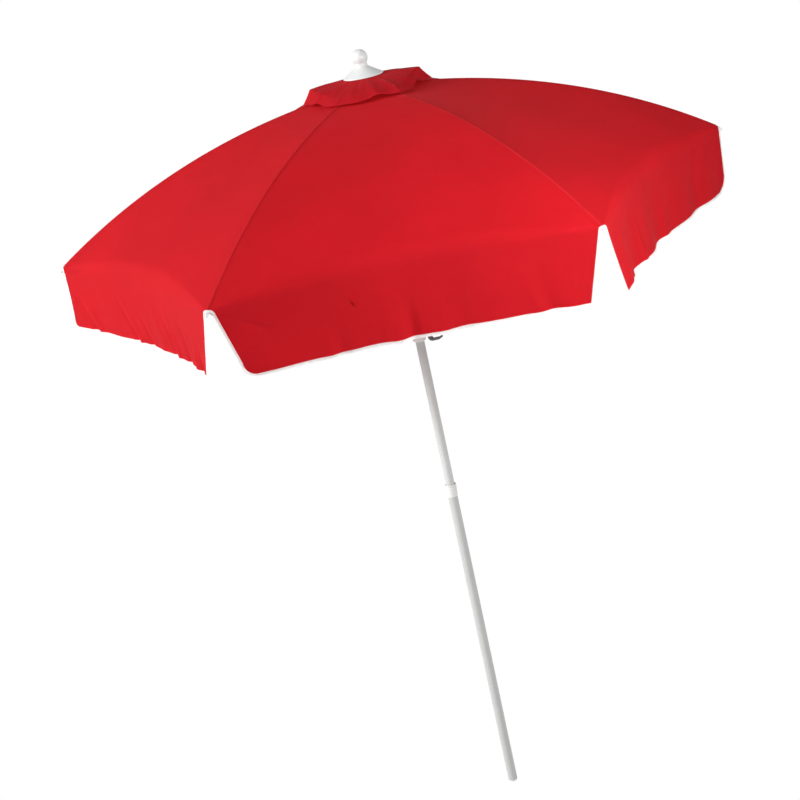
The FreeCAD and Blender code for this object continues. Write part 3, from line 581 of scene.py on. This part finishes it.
def tape_route(gore, side):
    """The slit's arch, its edge, the round corner and half the hem, in the flat."""
    loop, gap, corner = SLITS[gore, side][:3]
    half = TIP_R / 2
    low = half - loop - (gap - loop) * (DROP - corner) / DROP
    angles = [pi / 2 * i / ARC_STEPS for i in range(ARC_STEPS + 1)]
    arc = [(sin(a), 1 - cos(a)) for a in angles]
    pts = [(half - loop * a - (gap - loop) * loop * b / DROP, loop * b) for a, b in arc]
    top = pts[-1][0]
    for i in range(1, EDGE_STEPS + 1):
        v = top + (low - top) * i / EDGE_STEPS
        pts.append((v, loop + (DROP - corner - loop) * i / EDGE_STEPS))
    pts += [(low - corner * b, DROP - corner * (1 - a)) for a, b in arc[1:]]
    pts += [((low - corner) * (1 - i / HEM_STEPS), DROP) for i in range(1, HEM_STEPS + 1)]
    return pts


def lay_tape(gore, side, route, run, p, t):
    last = len(route) - 1
    i = round(t * last)
    a, b = route[max(0, i - 1)], route[min(last, i + 1)]
    dv, dx = b[0] - a[0], b[1] - a[1]
    size = sqrt(dv * dv + dx * dx)
    v = route[i][0] - TAPE * p * dx / size
    x = route[i][1] + TAPE * p * dv / size
    return drape(gore, side, max(0.0, v), x), (TAPE * p, run[i])


for gore in ARMS:
    for side, end in SIDES.items():
        arm = arm_beside(gore, side)
        route = tape_route(gore, side)
        run = [0.0]
        for (v0, x0), (v1, x1) in zip(route, route[1:]):
            run.append(run[-1] + sqrt((v1 - v0) ** 2 + (x1 - x0) ** 2))
        piece, _ = cloth_piece(
            "binding_%d_%s" % (gore, end), 4, len(route) - 1,
            lambda p, t: lay_tape(gore, side, route, run, p, t), TAPE_THICK, white_tape,
        )
        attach(piece, "valance_drop_%d" % arm)
        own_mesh(piece)
        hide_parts("valance_binding_%d" % gore)

# ---- Seams on the ribs -------------------------------------------------------
# Flat-felled seams where two gores meet: four layers of cloth, 6 mm wide, that
# stand a little proud over each rib, with two rows of stitching.
SEAM = 0.0066
SEAM_THICK = 0.0006
SEAM_TOP, SEAM_END = 0.002, 0.011  # how far it stops from the vent and from the tip
SEAM_LIFT, SEAM_CROWN = 0.0004, 0.0009  # how far it stands off the rib, and what its middle adds
seam_cloth = woven(
    "red seam", (0.60, 0.012, 0.02), 0.0011, 0.00006, 0.03,
    stitch=(0.0022, 0.004), stitch_colour=(0.66, 0.03, 0.035),
)


def lay_seam(arm, p, t):
    off = (p - 0.5) * SEAM
    gore, side = (arm, -1) if off >= 0 else ((arm + 4) % 6 + 1, 1)
    r = VENT_R + SEAM_TOP + (TIP_R - SEAM_END - VENT_R) * t
    lift = SEAM_LIFT + SEAM_CROWN * (1 - abs(2 * p - 1) ** 4)
    slope = -(r + ARC_BACK) / sqrt(ARC_R**2 - (r + ARC_BACK) ** 2) / C30
    size = sqrt(1 + slope * slope)
    u, v, z = r * C30 - lift * slope / size, r / 2 - abs(off) / C30, crown(r) + lift / size
    return in_row(gore, side, u, v, z), (off, r)


for arm in ARMS:
    piece, _ = cloth_piece(
        "seam_%d" % arm, 8, 90, lambda p, t: lay_seam(arm, p, t), SEAM_THICK, seam_cloth
    )
    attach(piece, "rib_arm_%d" % arm)

# ---- Vent cap ----------------------------------------------------------------
# A loose six-sided cap of the same cloth, held under the finial and caught to
# the seams at its corners, so its rim lifts in waves between them.
CAP_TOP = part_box("vent_cap")[1].z - 0.0005
CAP_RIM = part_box("vent_cap")[0].z
CAP_HOLE, CAP_HELD = 0.018, 0.052  # radius of its hole, and of what the finial holds down
CAP_SHOULDER, CAP_EDGE = 0.150, 0.176  # radii where its firmer sides bend down, and of its edge
CAP_DIP = 0.005  # how far the cloth drops from the finial to that bend

# Where the rim stands off the gores, as (bearing, spread to each side, rise)
CAP_WAVES = (
    (283, 11, 0.011), (250, 9, -0.003), (332, 9, 0.010), (349, 6, 0.004), (312, 5, -0.003),
    (212, 11, 0.006), (228, 5, -0.004), (192, 5, 0.005), (30, 12, 0.010), (88, 14, 0.009),
    (108, 6, -0.004), (150, 13, 0.011), (55, 5, -0.003),
)


def cap_rim(theta):
    """How far the loose rim stands off the gores at this bearing, and its wave in and out."""
    lift = 0.0
    for middle, spread, rise in CAP_WAVES:
        away = (degrees(theta) - middle + 180) % 360 - 180
        lift += rise * exp(-((away / spread) ** 2))
    return lift, 0.003 * sin(7 * theta + 1.0) + 0.002 * sin(13 * theta)


def cap_creases(theta, out):
    """Creases that run out from the finial and turn a little on the way."""
    broad = 0.0022 * sin(8 * theta + 1.3 + 3 * out)
    return broad + 0.0014 * sin(15 * theta + 0.4 - 3 * out) + 0.0006 * sin(29 * theta)


def lay_cap(arm, side, p, t):
    turn = pi / 6 * p
    theta = bearing(arm) + side * turn
    six = 0.8 * C30 / cos(pi / 6 - turn) + 0.2 * 0.955  # mostly a hexagon, partly round
    loose = sin(3 * theta) ** 2
    hard = abs(cos(theta)) ** 5
    lift, wave = cap_rim(theta)
    rim, shoulder = CAP_EDGE * six, CAP_SHOULDER * six
    r = CAP_HOLE + (rim - CAP_HOLE) * t
    out = max(0.0, (r - CAP_HELD) / (rim - CAP_HELD))
    bend = max(0.0, (r - CAP_HELD) / (shoulder - CAP_HELD))
    edge = CAP_RIM + 0.0005 + lift * loose
    soft = CAP_TOP - (CAP_TOP - edge) * (0.55 * out + 0.45 * out**3)
    past = max(0.0, (r - shoulder) / (rim - shoulder))
    firm = CAP_TOP - CAP_DIP * min(1.0, bend) ** 2 - (CAP_TOP - CAP_DIP - edge) * past ** 0.85
    crease = cap_creases(theta, out)
    z = firm * hard + soft * (1 - hard) + crease * out**0.6 * (1 - 0.75 * out)
    r += wave * out**3
    return Vector((r * cos(theta), r * sin(theta), z)), (r * theta, r)


for arm in ARMS:
    for side, end in SIDES.items():
        piece, area = cloth_piece(
            "vent_cap_%d_%s" % (arm, end), 24, 60,
            lambda p, t: lay_cap(arm, side, p, t), CLOTH, red_cloth,
        )
        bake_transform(piece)
        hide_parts("vent_cap")

# ---- Finial ------------------------------------------------------------------
# A moulded white cone with a ball on a short neck, screwed down on the stud. It
# holds the vent cap on the spacer.
foot_z, top_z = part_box("finial")[0].z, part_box("finial")[1].z
BALL_R = 0.0215
BALL_Z = top_z - 0.0209
NECK_R, CONE_R = 0.0165, 0.0355  # the neck's radius, and what the cone's foot adds
LIP, CONE = 0.003, 0.0245  # heights of the foot's lip and of the cone
CONE_STEPS, BALL_STEPS = 14, 26
neck = asin(0.0166 / BALL_R)  # angle from the ball's axis to its neck
arc = pi - neck - 0.28  # from there to the flat on its top
outline = [
    (0.0, foot_z), (0.0525, foot_z), (0.0538, foot_z + 0.0006),
    (0.054, foot_z + 0.0018), (0.0532, foot_z + LIP),
]
for k in [i / CONE_STEPS for i in range(1, CONE_STEPS + 1)]:
    outline.append((NECK_R + CONE_R * (1 - k) ** 1.18, foot_z + LIP + CONE * k**0.92))
for i in range(BALL_STEPS + 1):
    round_ball = arc * i / BALL_STEPS
    outline.append((BALL_R * sin(pi - neck - round_ball), BALL_Z - BALL_R * cos(neck + round_ball)))
outline += [(0.0052, top_z - 0.0012), (0.0046, top_z - 0.0019), (0.0, top_z - 0.0021)]
bm = bmesh.new()
verts = [bm.verts.new((r, 0, z)) for r, z in outline]
edges = [bm.edges.new(pair) for pair in zip(verts, verts[1:])]
bmesh.ops.spin(
    bm, geom=verts + edges, cent=(0, 0, 0), axis=(0, 0, 1), angle=2 * pi, steps=96, use_merge=True
)
bmesh.ops.remove_doubles(bm, verts=bm.verts, dist=1e-5)
bmesh.ops.recalc_face_normals(bm, faces=bm.faces)
for face in bm.faces:
    face.smooth = True
finial_mesh = bpy.data.meshes.new("finial_turned")
bm.to_mesh(finial_mesh)
bm.free()
finial_mesh.materials.append(white_plastic)
finial = bpy.data.objects.new("finial_turned", finial_mesh)
scene.collection.objects.link(finial)
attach(finial, "upper_pole")
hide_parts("finial")
